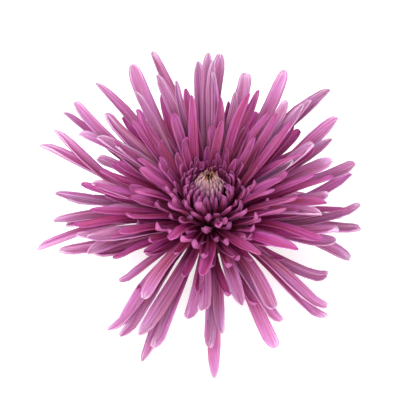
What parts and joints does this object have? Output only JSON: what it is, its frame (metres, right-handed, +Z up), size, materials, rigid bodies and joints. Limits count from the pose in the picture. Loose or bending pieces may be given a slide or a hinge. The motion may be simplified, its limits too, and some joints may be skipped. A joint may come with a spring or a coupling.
{
  "type": "spider chrysanthemum bloom",
  "caption": "Open spider chrysanthemum bloom with long channelled ray florets round a closed bud of young ones, on a green bract cup and a short cut stem.",
  "frame": {"origin": "middle of the bloom's outline seen from above, at the surface it lies on", "axes": "+Z up through the open face of the bloom, -Y towards the camera of the picture, +X to the picture's right"},
  "size_m": [0.1202, 0.1068, 0.0658],
  "materials": {
    "purple_petal": "satin purple petal, dark at the root and pale pink at the tip, with fine lengthwise veins",
    "young_floret": "soft greenish pink young petal, closed over small brown orange tips",
    "bract_green": "matte leaf green with a thin pale brown papery edge",
    "stem_green": "satin ribbed green plant stem with a pale pith at the cut end"
  },
  "bodies": {
    "root": {"ray_florets": "purple_petal", "centre_bud": "young_floret", "involucre": "bract_green", "stem": "stem_green"}
  },
  "joints": []
}
